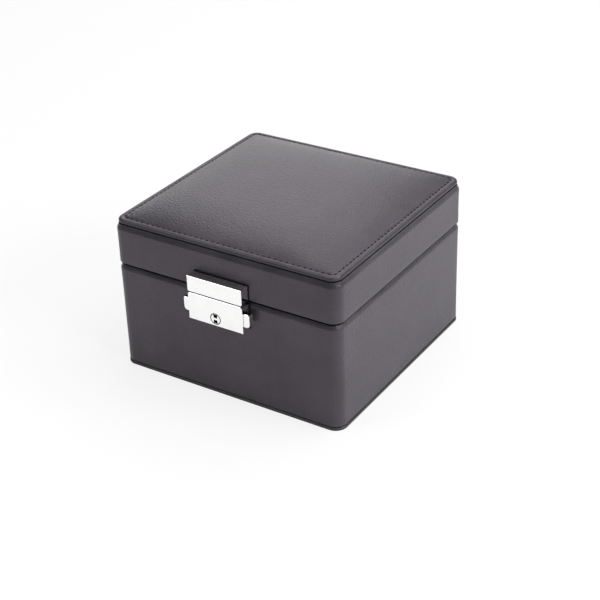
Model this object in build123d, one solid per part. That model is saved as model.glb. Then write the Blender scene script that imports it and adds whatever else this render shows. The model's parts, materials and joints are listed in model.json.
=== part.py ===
"""Leather watch box for two watches: padded, stitched lid, side-button lock and two loose pillows.

Millimetres. +Z is up, the box's front with the lock looks along -Y, and the origin lies in the
middle of the underside, below the leather body. The lid is shut.
"""

import os
from math import atan2, cos, degrees, pi, sin

from build123d import *

# Overall size of the leather body
box_width = 140.0
box_depth = 135.0
base_rim_z = 62.65
lid_gap = 0.6
lid_side_height = 23.3
corner_radius = 6.5

# Sheet and board stock
leather = 1.0
wall_board = 6.0
floor_board = 5.0
top_board = 5.0
rim_radius = 1.4
closed_edge_bevel = 0.8
mouth_radius = 0.8
turn_in = 8.0

# Foot
foot_card = 1.5
foot_inset = 0.2
foot_edge_bevel = 0.2

# Lining and inner blocks
lining_card = 1.5
floor_pad = 2.0
block_height = 37.0
divider_width = 5.0
block_edge_radius = 2.0
lid_pad_thickness = 4.5
lid_pad_bevel = 1.2
lid_pad_margin = 6.0
lid_pad_roll = 0.7
lid_pad_crown = 0.9
lid_pad_clearance = 0.2

# Watch pillows
pillow_depth = 78.0
pillow_height = 42.0
pillow_corner = 16.0
pillow_end_draw = 0.13
pillow_steps = 3
pillow_side_gap = 1.0
pillow_end_gap = 2.0
pillow_gap = 0.3

# Padded top of the lid
pad_inset = 1.0
pad_border_height = 2.7
pad_edge_radius = 2.1
pad_foot_bevel = 0.4
pad_board = 1.2
pad_leather = 1.1
stitch_inset = 4.5
pad_roll = 1.7
pad_crown = 2.1
dome_margin = 0.5
roll_draw = 3.0
roll_steps = 3

# Hinges
hinge_spread = 82.0
hinge_length = 24.0
hinge_offset = 1.0
leaf_thickness = 1.0
leaf_depth = 6.5
barrel_radius = 1.5
hinge_pin_radius = 0.75
centre_knuckle = 9.6
knuckle_gap = 0.2
stop_inner_gap = 0.15
stop_thickness = 0.95
lid_opening_angle = 95.0
stop_slack_angle = 0.6
mortise_clearance = 0.15

# Screws of the lock
lock_screw_radius = 1.0
lock_screw_head_radius = 1.9
lock_screw_head_depth = 1.1
thread_clearance = 0.03

# Lock, measured from the leather front
lock_width = 34.0
lock_projection = 6.7
lock_sheet = 0.8
lock_height = 15.55
hasp_height = 9.05
lock_rim_set_back = 0.05
lock_corner_radius = 1.0
lock_edge_bevel = 0.2
back_plate = 1.0
hasp_plate = 1.4
hasp_plate_gap = 0.4
hasp_post_radius = 2.2
hasp_screw_spread = 16.0
lock_boss_radius = 1.9
lock_boss_gap = 0.3
lock_screw_x = 11.6
screw_end_cover = 0.6

# Keyhole barrel
plug_radius = 3.25
plug_drop = 11.4
journal_radius = 1.5
journal_end_gap = 0.1
running_clearance = 0.05
key_slot_width = 1.9
key_slot_height = 5.6
key_slot_depth = 2.0
key_pin_radius = 0.7
key_pin_set_back = 0.5
rim_groove_width = 0.35
rim_groove_depth = 0.3
cam_thickness = 1.1
cam_hub_radius = 2.4
cam_reach = 5.5
cam_tip_radius = 1.1

# Push slides
button_travel = 2.5
button_room = 0.7
button_proud = 3.6
button_thickness = 3.2
button_height = 7.8
button_drop = 4.0
button_low_corner = 1.9
button_high_corner = 0.7
button_edge_bevel = 0.2
slide_thickness = 2.0
slide_front_gap = 0.15
slide_inner_x = 6.2
slide_bar_height = 4.6
riser_inner_x = 6.6
riser_width = 1.8
riser_drop = 3.2
tooth_reach = 2.4
tooth_height = 1.9
tooth_tip = 0.4
tooth_root_set_back = 0.3
slot_clearance = 0.2
guide_peg = 1.6
guide_x = 11.6

# Hooks of the hasp
tongue_inner_x = 11.2
tongue_width = 2.0
tongue_clearance = 0.4
hook_reach = 1.6
hook_height = 1.3
hook_tip = 0.4
hook_slant = 0.2
latch_slack = 0.3

# Strip springs behind the buttons
spring_height = 2.2
spring_width = 1.6
spring_strip = 0.25
spring_folds = 5
spring_end_gap = 0.15
spring_drop = 0.1
spring_lug = 1.0

# Places worked out from the sizes above
half_width = box_width / 2
half_depth = box_depth / 2
lid_rim_z = base_rim_z + lid_gap
lid_top_z = lid_rim_z + lid_side_height
wall = leather + wall_board
inner_width = box_width - 2 * wall
inner_depth = box_depth - 2 * wall
lined_width = inner_width - 2 * lining_card
lined_depth = inner_depth - 2 * lining_card
floor_z = foot_card + floor_board
pad_z = floor_z + floor_pad
block_top_z = pad_z + block_height
ceiling_z = lid_top_z - top_board
well_width = (lined_width - divider_width) / 2
pillow_width = well_width - 2 * pillow_side_gap
pillow_x = (divider_width + well_width) / 2
bolster_depth = (lined_depth - pillow_depth) / 2 - pillow_end_gap
hinge_y = half_depth + hinge_offset
hinge_z = base_rim_z + lid_gap / 2
front_y = -half_depth
lock_top_z = base_rim_z - lock_rim_set_back
lock_bottom_z = lock_top_z - lock_height
hasp_bottom_z = lid_rim_z + lock_rim_set_back
hasp_top_z = hasp_bottom_z + hasp_height
hasp_screw_z = hasp_bottom_z + hasp_height / 2
lock_screw_z = lock_bottom_z + lock_sheet + slot_clearance + lock_boss_radius
plug_z = lock_top_z - plug_drop
button_reach = lock_width / 2 + button_proud
button_top_z = lock_top_z - button_drop
button_bottom_z = button_top_z - button_height
slide_bar_top_z = button_bottom_z + slide_bar_height
guide_z = button_bottom_z + slide_bar_height / 2
riser_top_z = lock_top_z - riser_drop
hook_top_z = riser_top_z - tooth_height - latch_slack
spring_z = riser_top_z - spring_drop - spring_height / 2
plate_y = front_y - back_plate
case_front_y = front_y - lock_projection
case_inner_y = case_front_y + lock_sheet
slide_front_y = case_inner_y + slide_front_gap
slide_back_y = slide_front_y + slide_thickness
button_inner_x = tongue_inner_x + tongue_width + button_travel + button_room
cam_front_y = slide_back_y + slide_front_gap
hook_front_y = case_inner_y + hasp_plate_gap
hook_back_y = hook_front_y + hasp_plate
boss_front_y = slide_back_y + lock_boss_gap
board_inner_y = front_y + wall


def tall_block(width, depth, low_z, high_z, radius=0.0):
    """An upright block centred on the Z axis, with rounded upright corners if a radius is given."""
    outline = RectangleRounded(width, depth, radius) if radius else Rectangle(width, depth)
    return Pos(0, 0, low_z) * extrude(outline, high_z - low_z)


def span_box(low, high):
    """A box between two opposite corners."""
    size = [b - a for a, b in zip(low, high)]
    centre = [(a + b) / 2 for a, b in zip(low, high)]
    return Pos(*centre) * Box(*size)


def rod(start, direction, radius, length):
    """A round rod from a point along a direction."""
    return Plane(origin=start, z_dir=direction) * Pos(0, 0, length / 2) * Cylinder(radius, length)


def mirrored_pair(piece):
    """A piece and its mirror image across the box's middle."""
    return piece, mirror(piece, about=Plane.YZ)


# Carcass: leather band over mitred boards


def leather_band(height):
    """Leather round the four walls of a case, closed end at z = 0 and open rim at the given height.

    It turns over the rim into the mouth, and inwards over the closed end of the boards.
    """
    band = tall_block(box_width, box_depth, 0, height, corner_radius)
    band = fillet(band.edges().group_by(Axis.Z)[-1], rim_radius)
    band = chamfer(band.edges().group_by(Axis.Z)[0], closed_edge_bevel)
    band -= board_ring(height)
    band -= tall_block(inner_width, inner_depth, 0, height - turn_in)
    mouth_width = inner_width - 2 * leather
    mouth_depth = inner_depth - 2 * leather
    band -= tall_block(mouth_width, mouth_depth, 0, height)
    mouth_edges = [
        edge
        for edge in band.edges().group_by(Axis.Z)[-1]
        if abs(edge.center().X) < mouth_width / 2 + 0.01 and abs(edge.center().Y) < mouth_depth / 2 + 0.01
    ]
    return fillet(mouth_edges, mouth_radius)


def board_ring(height):
    """The four wall boards as one ring, inside the leather."""
    outline = tall_block(
        box_width - 2 * leather,
        box_depth - 2 * leather,
        leather,
        height - leather,
        corner_radius - leather,
    )
    return outline - tall_block(inner_width, inner_depth, 0, height)


def wall_boards(height):
    """Front, back, left and right board, cut from the ring along its mitres."""
    ring = board_ring(height)
    x, y = half_width, half_depth
    near, far = (-x, -y), (x, y)
    right_near, left_far = (x, -y), (-x, y)
    inner_x, inner_y = inner_width / 2, inner_depth / 2
    sectors = {
        "front": [near, right_near, (inner_x, -inner_y), (-inner_x, -inner_y)],
        "back": [far, left_far, (-inner_x, inner_y), (inner_x, inner_y)],
        "left": [left_far, near, (-inner_x, -inner_y), (-inner_x, inner_y)],
        "right": [right_near, far, (inner_x, inner_y), (inner_x, -inner_y)],
    }
    boards = {}
    for side, corners in sectors.items():
        sector = extrude(make_face(Polyline(*corners, close=True)), height)
        boards[side] = ring & sector
    return boards


def place_base(piece):
    """From the case frame to the base: closed end down, standing on the foot card."""
    return Pos(0, 0, foot_card) * piece


def place_lid(piece):
    """From the case frame to the lid: closed end up."""
    return Pos(0, 0, lid_top_z) * mirror(piece, about=Plane.XY)


# Hinges


def hinge_centres():
    """The middle of each hinge along X."""
    return [-hinge_spread / 2, hinge_spread / 2]


def hinge_mortise(side):
    """Room for the hinge in the rim: a shallow pocket for the leaf and a round notch for the barrel.

    side is -1 for the base's rim, below the axis, and 1 for the lid's rim, above it.
    """
    rim_z = hinge_z + side * lid_gap / 2
    floor = rim_z + side * leaf_thickness
    low, high = sorted((rim_z, floor))
    length = hinge_length + 2 * mortise_clearance
    notch_radius = barrel_radius + stop_inner_gap + stop_thickness + mortise_clearance
    cuts = []
    for x in hinge_centres():
        pocket = span_box(
            (x - length / 2, half_depth - leaf_depth - mortise_clearance, low - (side > 0)),
            (x + length / 2, hinge_y, high + (side < 0)),
        )
        notch = rod((x - length / 2, hinge_y, hinge_z), (1, 0, 0), notch_radius, length)
        cuts += [pocket, notch]
    return cuts


def hinge_section(side, inner_radius):
    """Section of one leaf: the flat leaf, and a stop round the barrel that ends on a sloping face.

    The base's stop ends below the axis and the lid's above it. They meet when the lid is open.
    """
    outer_radius = barrel_radius + stop_inner_gap + stop_thickness
    half_gap = (lid_opening_angle + stop_slack_angle) / 2
    reach = 2 * outer_radius
    rim = side * lid_gap / 2
    edge = Vector(reach, 0).rotate(Axis.Z, side * half_gap)
    open_side = Polyline(
        (0, 0),
        (edge.X, edge.Y),
        (reach, -side * reach),
        (-reach, -side * reach),
        (-reach, rim),
        (0, rim),
        close=True,
    )
    stop = Circle(outer_radius) - make_face(open_side)
    leaf_length = leaf_depth + hinge_offset
    leaf = Pos(-leaf_length / 2, rim + side * leaf_thickness / 2) * Rectangle(leaf_length, leaf_thickness)
    section = stop + leaf
    if inner_radius:
        return section - Circle(inner_radius)
    bore_radius = hinge_pin_radius + (running_clearance if side > 0 else 0)
    return section + Circle(barrel_radius) - Circle(bore_radius)


def hinge_leaf(side):
    """One leaf with its knuckles, on its own axis: the lid has the middle one, the base the outer two."""
    end = hinge_length / 2
    middle = centre_knuckle / 2
    clear = middle + knuckle_gap
    swept_radius = barrel_radius + stop_inner_gap
    spans = [(-end, -middle, swept_radius), (-middle, middle, 0), (middle, end, swept_radius)]
    if side < 0:
        spans = [(-end, -clear, 0), (-clear, clear, swept_radius), (clear, end, 0)]
    leaf = Part()
    for start, stop, inner_radius in spans:
        plane = Plane(origin=(start, 0, 0), x_dir=(0, 1, 0), z_dir=(1, 0, 0))
        leaf += extrude(plane * hinge_section(side, inner_radius), stop - start)
    return leaf


# Padded top of the lid and other soft pieces


def drawn_in_slab(width, depth, radius, height, draw, steps):
    """A slab with rounded corners that draws in by draw towards its top, along a quarter ellipse."""
    slab = Part()
    inset, level = 0.0, 0.0
    for step in range(1, steps + 1):
        angle = pi / 2 * step / steps
        next_inset = draw * (1 - cos(angle))
        next_level = height * sin(angle)
        outline = RectangleRounded(width - 2 * inset, depth - 2 * inset, radius - inset)
        taper = degrees(atan2(next_inset - inset, next_level - level))
        slab += Pos(0, 0, level) * extrude(outline, next_level - level, taper=taper)
        inset, level = next_inset, next_level
    return slab


def crowned_cap(width, depth, radius, crown):
    """A lens-like cap on a rounded rectangle, highest in the middle and flush with its edge all round."""
    cap = extrude(RectangleRounded(width, depth, radius), crown)
    for span, turn in ((width, 0), (depth, 90)):
        arch_radius = (span**2 / 4 + crown**2) / (2 * crown)
        arch = Rot(90, 0, turn) * Cylinder(arch_radius, 2 * max(width, depth))
        cap &= Pos(0, 0, crown - arch_radius) * arch
    return cap


def cushion(width, depth, radius, foot, roll, crown):
    """A filled pad that stands on z = 0: an upright foot, a rolled edge and a crowned top."""
    pad = extrude(RectangleRounded(width, depth, radius), foot)
    pad += Pos(0, 0, foot) * drawn_in_slab(width, depth, radius, roll, roll_draw, roll_steps)
    cap = crowned_cap(width - 2 * roll_draw, depth - 2 * roll_draw, radius - roll_draw, crown)
    return pad + Pos(0, 0, foot + roll) * cap


def pad_outline_block(inset, low_z, high_z):
    """A slab with the padded top's outline, drawn in from the lid's side."""
    return tall_block(
        box_width - 2 * inset, box_depth - 2 * inset, low_z, high_z, corner_radius - inset * 0.5
    )


def top_pad():
    """Board, foam and stitched leather cover of the padded top."""
    cover = pad_outline_block(pad_inset, lid_top_z, lid_top_z + pad_border_height)
    cover = fillet(cover.edges().group_by(Axis.Z)[-1], pad_edge_radius)
    cover = chamfer(cover.edges().group_by(Axis.Z)[0], pad_foot_bevel)
    width = box_width - 2 * (stitch_inset + dome_margin)
    depth = box_depth - 2 * (stitch_inset + dome_margin)
    place = Pos(0, 0, lid_top_z)
    cover += place * cushion(width, depth, corner_radius, pad_border_height, pad_roll, pad_crown)
    board = pad_outline_block(pad_inset + pad_leather, lid_top_z, lid_top_z + pad_board)
    foam = cushion(
        width - 2 * pad_leather,
        depth - 2 * pad_leather,
        corner_radius - pad_leather,
        pad_border_height - pad_board - pad_leather,
        pad_roll,
        pad_crown,
    )
    foam = place * Pos(0, 0, pad_board) * foam
    return {"top_pad_leather": cover - board - foam, "top_pad_board": board, "top_pad_foam": foam}


def lid_lining_pad():
    """Padded panel under the lid, crowned downwards."""
    width = lined_width - 2 * lid_pad_clearance
    depth = lined_depth - 2 * lid_pad_clearance
    panel = tall_block(width, depth, 0, lid_pad_thickness)
    panel = chamfer(panel.edges().group_by(Axis.Z)[-1], lid_pad_bevel)
    panel += cushion(
        width - 2 * lid_pad_margin,
        depth - 2 * lid_pad_margin,
        lid_pad_margin,
        lid_pad_thickness,
        lid_pad_roll,
        lid_pad_crown,
    )
    return Pos(0, 0, ceiling_z) * mirror(panel, about=Plane.XY)


def watch_pillow():
    """Pillow that a watch strap goes round: rounded front and back, drawn in towards its two ends."""
    turns = [pi / 2 * step / pillow_steps for step in range(-pillow_steps, pillow_steps + 1)]
    sections = []
    for turn in turns:
        scale = 1 - pillow_end_draw * (1 - cos(turn))
        outline = RectangleRounded(pillow_depth * scale, pillow_height * scale, pillow_corner * scale)
        place = pillow_width / 2 * sin(turn)
        sections.append(Plane(origin=(place, 0, 0), x_dir=(0, 1, 0), z_dir=(1, 0, 0)) * outline)
    return Pos(0, 0, pad_z + pillow_gap + pillow_height / 2) * loft(sections, ruled=True)


# Lining


def lining_cards(low_z, high_z):
    """Four cards against the boards: long ones front and back, short ones between them."""
    y = inner_depth / 2 - lining_card / 2
    x = inner_width / 2 - lining_card / 2
    height = high_z - low_z
    middle = (low_z + high_z) / 2
    long_cards = [Pos(0, s * y, middle) * Box(inner_width, lining_card, height) for s in (-1, 1)]
    side_cards = [Pos(s * x, 0, middle) * Box(lining_card, lined_depth, height) for s in (-1, 1)]
    return long_cards + side_cards


def soft_block(low, high):
    """A suede covered block with rounded top edges."""
    block = span_box(low, high)
    return fillet(block.edges().group_by(Axis.Z)[-1], block_edge_radius)


# Lock


def lock_outline(low_z, high_z, square_end):
    """Front plate's outline in XZ: the two corners at square_end stay sharp, the others are rounded."""
    outline = Pos(0, (low_z + high_z) / 2) * Rectangle(lock_width, high_z - low_z)
    ends = outline.vertices().group_by(Axis.Y)
    return fillet(ends[-1] if square_end == "low" else ends[0], lock_corner_radius)


def lock_shell(low_z, high_z, square_end):
    """A drawn sheet case: front plate with walls running back to the leather."""
    outer = extrude(Plane.XZ.offset(-front_y) * lock_outline(low_z, high_z, square_end), lock_projection)
    outer = chamfer(outer.edges().group_by(Axis.Y)[0], lock_edge_bevel)
    hollow = span_box(
        (-lock_width / 2 + lock_sheet, case_inner_y, low_z + lock_sheet),
        (lock_width / 2 - lock_sheet, front_y, high_z - lock_sheet),
    )
    return outer - hollow


def button_block():
    """The part of a push slide that shows: a block with rounded outer corners."""
    width = button_reach - button_inner_x
    height = button_top_z - button_bottom_z
    outline = Pos(button_inner_x + width / 2, button_bottom_z + height / 2) * Rectangle(width, height)
    low_corner = outline.vertices().group_by(Axis.X)[-1].sort_by(Axis.Y)[0]
    outline = fillet(low_corner, button_low_corner)
    high_corner = outline.vertices().group_by(Axis.X)[-1].sort_by(Axis.Y)[-1]
    outline = fillet(high_corner, button_high_corner)
    block = extrude(Plane.XZ.offset(-slide_front_y) * outline, -button_thickness)
    return chamfer(block.edges().group_by(Axis.Y)[0], button_edge_bevel)


def push_slide():
    """Right-hand push slide: button, bar with guide slot, riser and latch tooth."""
    bar = span_box(
        (slide_inner_x, slide_front_y, button_bottom_z),
        (button_inner_x + button_edge_bevel, slide_back_y, slide_bar_top_z),
    )
    riser = span_box(
        (riser_inner_x, slide_front_y, button_bottom_z),
        (riser_inner_x + riser_width, slide_back_y, riser_top_z),
    )
    lock_lug = span_box(
        (slide_inner_x, slide_front_y, plug_z - cam_tip_radius),
        (slide_inner_x + riser_width, cam_front_y + cam_thickness, slide_bar_top_z),
    )
    tooth_x = riser_inner_x + riser_width
    tooth_low = riser_top_z - tooth_height
    tooth_profile = Polyline(
        (riser_inner_x, tooth_low),
        (tooth_x + tooth_reach, tooth_low),
        (tooth_x + tooth_reach, tooth_low + tooth_tip),
        (tooth_x + tooth_root_set_back, riser_top_z),
        (riser_inner_x, riser_top_z),
        close=True,
    )
    tooth = extrude(Plane.XZ.offset(-slide_front_y) * make_face(tooth_profile), -slide_thickness)
    slide = button_block() + bar + riser + lock_lug + tooth
    slot_half = guide_peg / 2 + running_clearance
    guide_slot = span_box(
        (guide_x - slot_half, slide_front_y, guide_z - slot_half),
        (guide_x + slot_half + button_travel, slide_back_y, guide_z + slot_half),
    )
    return slide - guide_slot


def lock_case():
    """Lower case on the base: holes for the barrel, the two buttons and the two hooks."""
    case = lock_shell(lock_bottom_z, lock_top_z, "low")
    case -= rod((0, case_front_y, plug_z), (0, 1, 0), plug_radius + running_clearance, lock_sheet)
    for sign in (-1, 1):
        outer_x, inner_x = sign * (lock_width / 2), sign * (lock_width / 2 - lock_sheet)
        low_x, high_x = sorted((outer_x, inner_x))
        case -= span_box(
            (low_x, slide_front_y - slide_front_gap, button_bottom_z - slot_clearance),
            (high_x, slide_front_y + button_thickness + slot_clearance, button_top_z + slot_clearance),
        )
        hook_x = (sign * (tongue_inner_x - hook_reach), sign * (tongue_inner_x + tongue_width))
        case -= span_box(
            (min(hook_x) - tongue_clearance, hook_front_y - slot_clearance, lock_top_z - lock_sheet),
            (max(hook_x) + tongue_clearance, hook_back_y + slot_clearance, lock_top_z),
        )
    return case


def lock_back_plate():
    """Plate behind the slides: two guide pegs, a lug for the springs, two screw bosses and a bearing."""
    plate = span_box(
        (-lock_width / 2 + lock_sheet, plate_y, lock_bottom_z + lock_sheet),
        (lock_width / 2 - lock_sheet, front_y, lock_top_z - lock_sheet),
    )
    middle_y = (plate_y + case_inner_y) / 2
    peg_length = plate_y - case_inner_y
    plate += Pos(0, middle_y, spring_z) * Box(spring_lug, peg_length, spring_height)
    plate -= rod((0, plate_y, plug_z), (0, 1, 0), journal_radius + running_clearance, back_plate)
    for sign in (-1, 1):
        x = sign * lock_screw_x
        plate += Pos(sign * guide_x, middle_y, guide_z) * Box(guide_peg, peg_length, guide_peg)
        plate += rod((x, plate_y, lock_screw_z), (0, -1, 0), lock_boss_radius, plate_y - boss_front_y)
        plate -= threaded_hole(x, lock_screw_z, boss_front_y)
    return plate


def threaded_hole(x, z, boss_end_y):
    """Blind hole from the leather's side into a boss that ends at boss_end_y."""
    length = front_y - boss_end_y - screw_end_cover + thread_clearance
    return rod((x, front_y, z), (0, -1, 0), lock_screw_radius + thread_clearance, length)


def key_plug():
    """Keyhole barrel: rimmed face with an upright slot and a centre pin, and a journal behind."""
    face = (0, case_front_y, plug_z)
    plug = rod(face, (0, 1, 0), plug_radius, cam_front_y - case_front_y)
    journal_length = front_y - journal_end_gap - cam_front_y
    plug += rod((0, cam_front_y, plug_z), (0, 1, 0), journal_radius, journal_length)
    groove_radius = plug_radius - rim_groove_width
    groove = rod(face, (0, 1, 0), groove_radius, rim_groove_depth)
    groove -= rod(face, (0, 1, 0), groove_radius - rim_groove_width, rim_groove_depth)
    slot = Pos(0, case_front_y + key_slot_depth / 2, plug_z) * Box(
        key_slot_width, key_slot_depth, key_slot_height
    )
    pin = rod((0, case_front_y + key_pin_set_back, plug_z), (0, 1, 0), key_pin_radius, key_slot_depth)
    return plug - groove - slot + pin


def key_cam():
    """Cam on the barrel's journal: it points up when unlocked and blocks the right slide when turned."""
    arm_length = cam_reach - cam_tip_radius
    hub = Circle(cam_hub_radius)
    tip = Pos(0, arm_length) * Circle(cam_tip_radius)
    arm = Pos(0, arm_length / 2) * Rectangle(2 * cam_tip_radius, arm_length)
    profile = Pos(0, plug_z) * (hub + tip + arm - Circle(journal_radius))
    return extrude(Plane.XZ.offset(-cam_front_y) * profile, -cam_thickness)


def hasp_case():
    """Upper case on the lid, open below where the hooks come out."""
    case = lock_shell(hasp_bottom_z, hasp_top_z, "high")
    mouth_x = tongue_inner_x + tongue_width + tongue_clearance
    case -= span_box(
        (-mouth_x, case_inner_y, hasp_bottom_z),
        (mouth_x, front_y, hasp_bottom_z + lock_sheet),
    )
    return case


def hasp_back_plate():
    """Plate against the lid's leather with two threaded posts that carry the hook plate."""
    plate = span_box(
        (-lock_width / 2 + lock_sheet, plate_y, hasp_bottom_z + lock_sheet),
        (lock_width / 2 - lock_sheet, front_y, hasp_top_z - lock_sheet),
    )
    for sign in (-1, 1):
        x = sign * hasp_screw_spread / 2
        plate += rod((x, plate_y, hasp_screw_z), (0, -1, 0), hasp_post_radius, plate_y - hook_back_y)
        plate -= threaded_hole(x, hasp_screw_z, hook_back_y)
    return plate


def hasp_hooks():
    """Hook plate: a bar inside the hasp with two tongues whose hooks reach under the latch teeth."""
    bar_low = hasp_bottom_z + lock_sheet + slot_clearance
    bar_high = hasp_top_z - lock_sheet
    outer_x = tongue_inner_x + tongue_width
    bottom_z = hook_top_z - hook_height
    profile = Pos(0, (bar_low + bar_high) / 2) * Rectangle(2 * outer_x, bar_high - bar_low)
    for sign in (-1, 1):
        tongue = Polyline(
            (sign * outer_x, bar_high),
            (sign * tongue_inner_x, bar_high),
            (sign * tongue_inner_x, hook_top_z),
            (sign * (tongue_inner_x - hook_reach), hook_top_z),
            (sign * (tongue_inner_x - hook_reach), hook_top_z - hook_tip),
            (sign * (tongue_inner_x - hook_slant), bottom_z),
            (sign * outer_x, bottom_z),
            close=True,
        )
        profile += make_face(tongue)
    return extrude(Plane.XZ.offset(-hook_front_y) * profile, -hasp_plate)


def case_screws(places, tip_y):
    """Screws driven outwards from inside the front board, heads let into the board."""
    screws = []
    for x, z in places:
        head_y = board_inner_y
        screw = rod((x, head_y, z), (0, -1, 0), lock_screw_head_radius, lock_screw_head_depth)
        screw += rod((x, head_y, z), (0, -1, 0), lock_screw_radius, head_y - tip_y)
        screws.append(screw)
    return screws


def case_screw_holes(places):
    """Stepped holes through the front board and its leather for those screws."""
    cuts = []
    for x, z in places:
        radius = lock_screw_radius + thread_clearance
        head = lock_screw_head_radius + thread_clearance
        depth = lock_screw_head_depth + thread_clearance
        cuts.append(rod((x, board_inner_y, z), (0, -1, 0), radius, wall))
        cuts.append(rod((x, board_inner_y, z), (0, -1, 0), head, depth))
    return cuts


def button_spring():
    """Right-hand strip spring, folded to and fro between the middle lug and the slide's riser."""
    start_x = spring_lug / 2 + spring_end_gap
    end_x = riser_inner_x - spring_end_gap
    fold = (end_x - start_x - spring_strip) / spring_folds
    half_height = (spring_height - spring_strip) / 2
    line = Polyline(
        [(start_x + spring_strip / 2 + fold * i, half_height * (-1) ** i) for i in range(spring_folds + 1)]
    )
    strip = trace(line, spring_strip)
    plane = Plane.XZ.offset(-(slide_front_y + (slide_thickness - spring_width) / 2))
    return extrude(plane * Pos(0, spring_z) * strip, -spring_width)


# Assembly


def build_base():
    """Everything that stays on the table."""
    height = base_rim_z - foot_card
    cuts = hinge_mortise(-1)
    lock_places = [(-lock_screw_x, lock_screw_z), (lock_screw_x, lock_screw_z)]
    front_holes = case_screw_holes(lock_places)
    nodes = {"base_leather": place_base(leather_band(height)) - cuts - front_holes}
    for side, board in wall_boards(height).items():
        nodes[f"base_{side}_board"] = place_base(board)
    nodes["base_back_board"] -= cuts
    nodes["base_front_board"] -= front_holes
    nodes["base_floor_board"] = tall_block(inner_width, inner_depth, foot_card, floor_z)
    foot = tall_block(
        box_width - 2 * foot_inset, box_depth - 2 * foot_inset, 0, foot_card, corner_radius - foot_inset
    )
    nodes["bottom_cover"] = chamfer(foot.edges().group_by(Axis.Z)[0], foot_edge_bevel)
    nodes["base_lining_cards"] = lining_cards(floor_z, base_rim_z - turn_in)
    nodes["base_floor_pad"] = tall_block(lined_width, lined_depth, floor_z, pad_z)
    x, y = lined_width / 2, lined_depth / 2
    nodes["front_bolster"] = soft_block((-x, -y, pad_z), (x, -y + bolster_depth, block_top_z))
    nodes["back_bolster"] = soft_block((-x, y - bolster_depth, pad_z), (x, y, block_top_z))
    nodes["well_divider"] = soft_block(
        (-divider_width / 2, -y + bolster_depth, pad_z), (divider_width / 2, y - bolster_depth, block_top_z)
    )
    nodes["hinge_base_leaves"] = [Pos(x, hinge_y, hinge_z) * hinge_leaf(-1) for x in hinge_centres()]
    nodes["hinge_pins"] = [
        rod((x - hinge_length / 2, hinge_y, hinge_z), (1, 0, 0), hinge_pin_radius, hinge_length)
        for x in hinge_centres()
    ]
    nodes["lock_case"] = lock_case()
    nodes["lock_back_plate"] = lock_back_plate()
    nodes["lock_screws"] = case_screws(lock_places, boss_front_y + screw_end_cover)
    return nodes


def build_lid():
    """Everything that swings with the lid."""
    cuts = hinge_mortise(1)
    hasp_places = [(-hasp_screw_spread / 2, hasp_screw_z), (hasp_screw_spread / 2, hasp_screw_z)]
    front_holes = case_screw_holes(hasp_places)
    nodes = {"lid_leather": place_lid(leather_band(lid_side_height)) - cuts - front_holes}
    for side, board in wall_boards(lid_side_height).items():
        nodes[f"lid_{side}_board"] = place_lid(board)
    nodes["lid_back_board"] -= cuts
    nodes["lid_front_board"] -= front_holes
    nodes["lid_top_board"] = tall_block(inner_width, inner_depth, ceiling_z, lid_top_z)
    nodes["lid_lining_cards"] = lining_cards(lid_rim_z + turn_in, ceiling_z)
    nodes["lid_lining_pad"] = lid_lining_pad()
    nodes["hinge_lid_leaves"] = [Pos(x, hinge_y, hinge_z) * hinge_leaf(1) for x in hinge_centres()]
    nodes["hasp_case"] = hasp_case()
    nodes["hasp_back_plate"] = hasp_back_plate()
    nodes["hasp_hooks"] = hasp_hooks()
    nodes["hasp_screws"] = case_screws(hasp_places, hook_back_y + screw_end_cover)
    nodes.update(top_pad())
    return nodes


def build_loose_pieces():
    """Pillows, push slides with their springs, and the keyhole barrel with its cam."""
    pillow = watch_pillow()
    right_slide, left_slide = mirrored_pair(push_slide())
    right_spring, left_spring = mirrored_pair(button_spring())
    return {
        "left_watch_pillow": Pos(-pillow_x, 0, 0) * pillow,
        "right_watch_pillow": Pos(pillow_x, 0, 0) * pillow,
        "left_push_slide": left_slide,
        "right_push_slide": right_slide,
        "left_button_spring": left_spring,
        "right_button_spring": right_spring,
        "key_plug": key_plug(),
        "key_cam": key_cam(),
    }


def main():
    """Build every node and write one STEP file for each."""
    os.makedirs("parts", exist_ok=True)
    nodes = {**build_base(), **build_lid(), **build_loose_pieces()}
    for name, shape in nodes.items():
        if isinstance(shape, list):
            shape = Compound(children=[s.solid() if hasattr(s, "solid") else s for s in shape])
        shape.label = name
        export_step(shape, f"parts/{name}.step")
        print(name, round(shape.volume, 1))


main()
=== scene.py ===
# %% [markdown]
# # A leather watch box in Blender
#
# The box is a carcass of thin boards wrapped in black leather. Its lid has a padded top with a
# stitched border, and a chromed case lock closes it. Inside are two wells with loose pillows.
#
# This script gives them their finishes, and makes the soft and wrapped pieces again, because
# leather and padding look right only with rolled edges, creases and stitches.

# %% Load the frame
import json
import math

import bmesh
import bpy
from mathutils import Matrix, Vector, noise


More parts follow.
